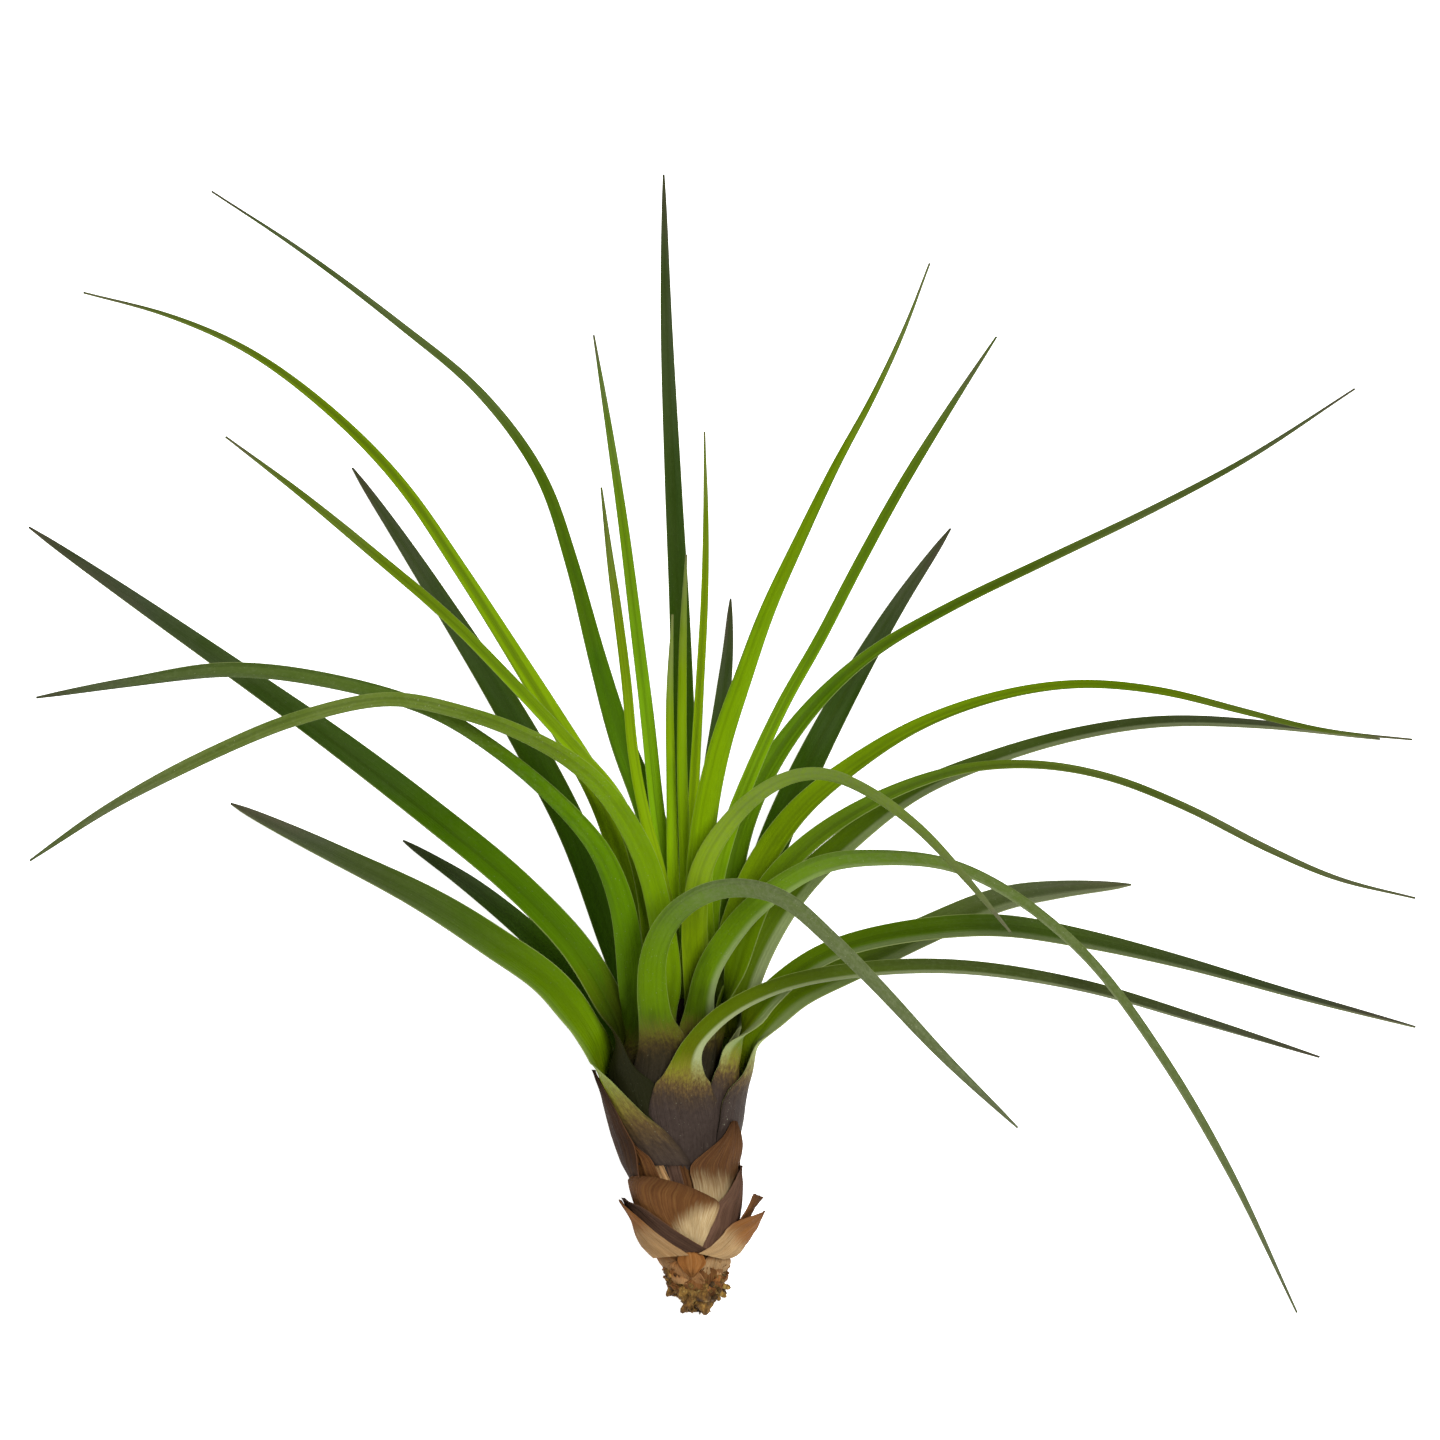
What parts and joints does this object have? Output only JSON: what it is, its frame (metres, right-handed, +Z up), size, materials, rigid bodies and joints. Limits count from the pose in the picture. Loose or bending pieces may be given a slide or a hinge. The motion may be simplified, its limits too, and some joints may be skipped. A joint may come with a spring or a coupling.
{
  "type": "bare-root air plant",
  "caption": "Bare-root air plant: a spray of narrow arching channelled leaves, dark clasping leaf bases and a short scaly root end.",
  "frame": {"origin": "middle of the plant's bounding box at the surface that it lies on", "axes": "+Z up from that surface, +X to the right of the spray as it is looked down on, +Y from the root end towards the tip of the tallest leaf, so the stem axis rises 25 degrees from the surface towards +Y"},
  "size_m": [0.2519, 0.2267, 0.1387],
  "materials": {
    "stem": "dry, matt brown papery sheaths with pale edges over a woody root end",
    "bright_leaf": "smooth, satin, bright yellow-green with fine lengthwise grooves",
    "fresh_leaf": "smooth, satin, mid green with fine lengthwise grooves and pale edges",
    "scurfy_leaf": "grey-green with a matt bloom of fine pale scales",
    "dark_leaf": "satin, deep green going brown-grey at the tip"
  },
  "bodies": {
    "root": {"stem": "stem", "leaf_right_10": "scurfy_leaf", "leaf_left_8": "dark_leaf", "leaf_right_8": "dark_leaf", "leaf_left_9": "dark_leaf", "leaf_right_9": "fresh_leaf", "leaf_left_5": "fresh_leaf", "leaf_left_4": "dark_leaf", "leaf_right_1": "dark_leaf", "leaf_right_11": "scurfy_leaf", "leaf_right_4": "fresh_leaf", "leaf_centre_6": "dark_leaf", "leaf_left_6": "scurfy_leaf", "leaf_right_7": "scurfy_leaf", "leaf_left_2": "bright_leaf", "leaf_centre_3": "dark_leaf", "leaf_right_2": "fresh_leaf", "leaf_right_5": "fresh_leaf", "leaf_left_3": "bright_leaf", "leaf_left_1": "fresh_leaf", "leaf_right_6": "bright_leaf", "leaf_right_3": "bright_leaf", "leaf_centre_2": "fresh_leaf", "leaf_left_7": "scurfy_leaf", "leaf_centre_7": "bright_leaf", "leaf_centre_8": "bright_leaf", "leaf_centre_1": "bright_leaf", "leaf_centre_5": "fresh_leaf", "leaf_centre_4": "bright_leaf", "leaf_centre_9": "bright_leaf"}
  },
  "joints": []
}
